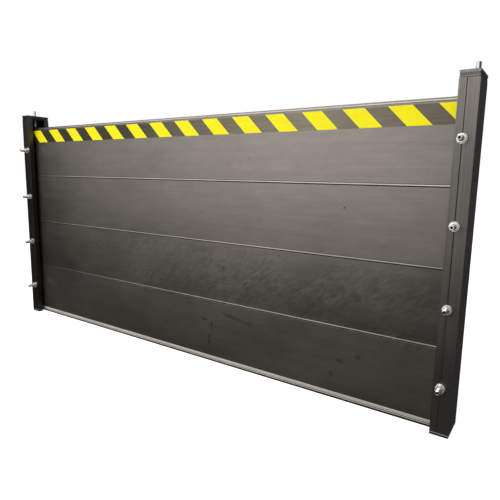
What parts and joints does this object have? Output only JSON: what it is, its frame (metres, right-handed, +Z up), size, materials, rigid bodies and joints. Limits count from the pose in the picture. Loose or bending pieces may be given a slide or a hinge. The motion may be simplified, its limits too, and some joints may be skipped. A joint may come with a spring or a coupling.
{
  "type": "flood barrier",
  "caption": "Demountable flood barrier bay: hollow aluminium boards stacked in two channel posts with clamp screws, hold-down screws, a sill seal and a striped tape.",
  "frame": {"origin": "centre of the overall footprint, on the ground", "axes": "+X along the boards to the right seen from the clamp screws, +Y to the back, +Z up"},
  "size_m": [1.814, 0.127, 0.898],
  "materials": {
    "post": "dark anodised, satin",
    "board": "dark anodised, satin",
    "end_cap": "matt",
    "black_seal": "matt",
    "grey_seal": "matt",
    "tape": "satin",
    "steel": "bright stainless"
  },
  "bodies": {
    "posts": {"left_post": "post", "right_post": "post", "left_post_seal": "black_seal", "right_post_seal": "black_seal", "left_foot_pad": "black_seal", "right_foot_pad": "black_seal", "left_clamp_nuts": "steel", "right_clamp_nuts": "steel", "left_clamp_washers": "steel", "right_clamp_washers": "steel"},
    "board_1": {"board_1": "board", "board_1_left_cap": "end_cap", "board_1_right_cap": "end_cap", "joint_seal_1": "black_seal", "sill_seal": "grey_seal"},
    "board_2": {"board_2": "board", "board_2_left_cap": "end_cap", "board_2_right_cap": "end_cap", "joint_seal_2": "black_seal"},
    "board_3": {"board_3": "board", "board_3_left_cap": "end_cap", "board_3_right_cap": "end_cap", "joint_seal_3": "black_seal"},
    "board_4": {"board_4": "board", "board_4_left_cap": "end_cap", "board_4_right_cap": "end_cap", "warning_tape": "tape"},
    "left_head": {"left_head_plate": "post"},
    "left_hold_down": {"left_hold_down_screw": "steel"},
    "right_head": {"right_head_plate": "post"},
    "right_hold_down": {"right_hold_down_screw": "steel"},
    "left_clamp_1": {"left_clamp_screw_1": "steel"},
    "left_clamp_2": {"left_clamp_screw_2": "steel"},
    "left_clamp_3": {"left_clamp_screw_3": "steel"},
    "left_clamp_4": {"left_clamp_screw_4": "steel"},
    "right_clamp_1": {"right_clamp_screw_1": "steel"},
    "right_clamp_2": {"right_clamp_screw_2": "steel"},
    "right_clamp_3": {"right_clamp_screw_3": "steel"},
    "right_clamp_4": {"right_clamp_screw_4": "steel"}
  },
  "joints": [
    {"name": "board_1_lift", "type": "slide", "parent": "posts", "child": "board_1", "axis": [0, 0, 1], "range_m": [0, 0.85]},
    {"name": "board_2_lift", "type": "slide", "parent": "board_1", "child": "board_2", "axis": [0, 0, 1], "range_m": [0, 0.65]},
    {"name": "board_3_lift", "type": "slide", "parent": "board_2", "child": "board_3", "axis": [0, 0, 1], "range_m": [0, 0.45]},
    {"name": "board_4_lift", "type": "slide", "parent": "board_3", "child": "board_4", "axis": [0, 0, 1], "range_m": [0, 0.25]},
    {"name": "left_head_lift", "type": "slide", "parent": "board_4", "child": "left_head", "axis": [0, 0, 1], "range_m": [0, 0.12]},
    {"name": "right_head_lift", "type": "slide", "parent": "board_4", "child": "right_head", "axis": [0, 0, 1], "range_m": [0, 0.12]},
    {"name": "left_hold_down_travel", "type": "slide", "parent": "left_head", "child": "left_hold_down", "axis": [0, 0, 1], "range_m": [0, 0.025]},
    {"name": "right_hold_down_travel", "type": "slide", "parent": "right_head", "child": "right_hold_down", "axis": [0, 0, 1], "range_m": [0, 0.025]},
    {"name": "left_clamp_1_travel", "type": "slide", "parent": "posts", "child": "left_clamp_1", "axis": [0, -1, 0], "range_m": [0, 0.005]},
    {"name": "left_clamp_2_travel", "type": "slide", "parent": "posts", "child": "left_clamp_2", "axis": [0, -1, 0], "range_m": [0, 0.005]},
    {"name": "left_clamp_3_travel", "type": "slide", "parent": "posts", "child": "left_clamp_3", "axis": [0, -1, 0], "range_m": [0, 0.005]},
    {"name": "left_clamp_4_travel", "type": "slide", "parent": "posts", "child": "left_clamp_4", "axis": [0, -1, 0], "range_m": [0, 0.005]},
    {"name": "right_clamp_1_travel", "type": "slide", "parent": "posts", "child": "right_clamp_1", "axis": [0, -1, 0], "range_m": [0, 0.005]},
    {"name": "right_clamp_2_travel", "type": "slide", "parent": "posts", "child": "right_clamp_2", "axis": [0, -1, 0], "range_m": [0, 0.005]},
    {"name": "right_clamp_3_travel", "type": "slide", "parent": "posts", "child": "right_clamp_3", "axis": [0, -1, 0], "range_m": [0, 0.005]},
    {"name": "right_clamp_4_travel", "type": "slide", "parent": "posts", "child": "right_clamp_4", "axis": [0, -1, 0], "range_m": [0, 0.005]}
  ]
}
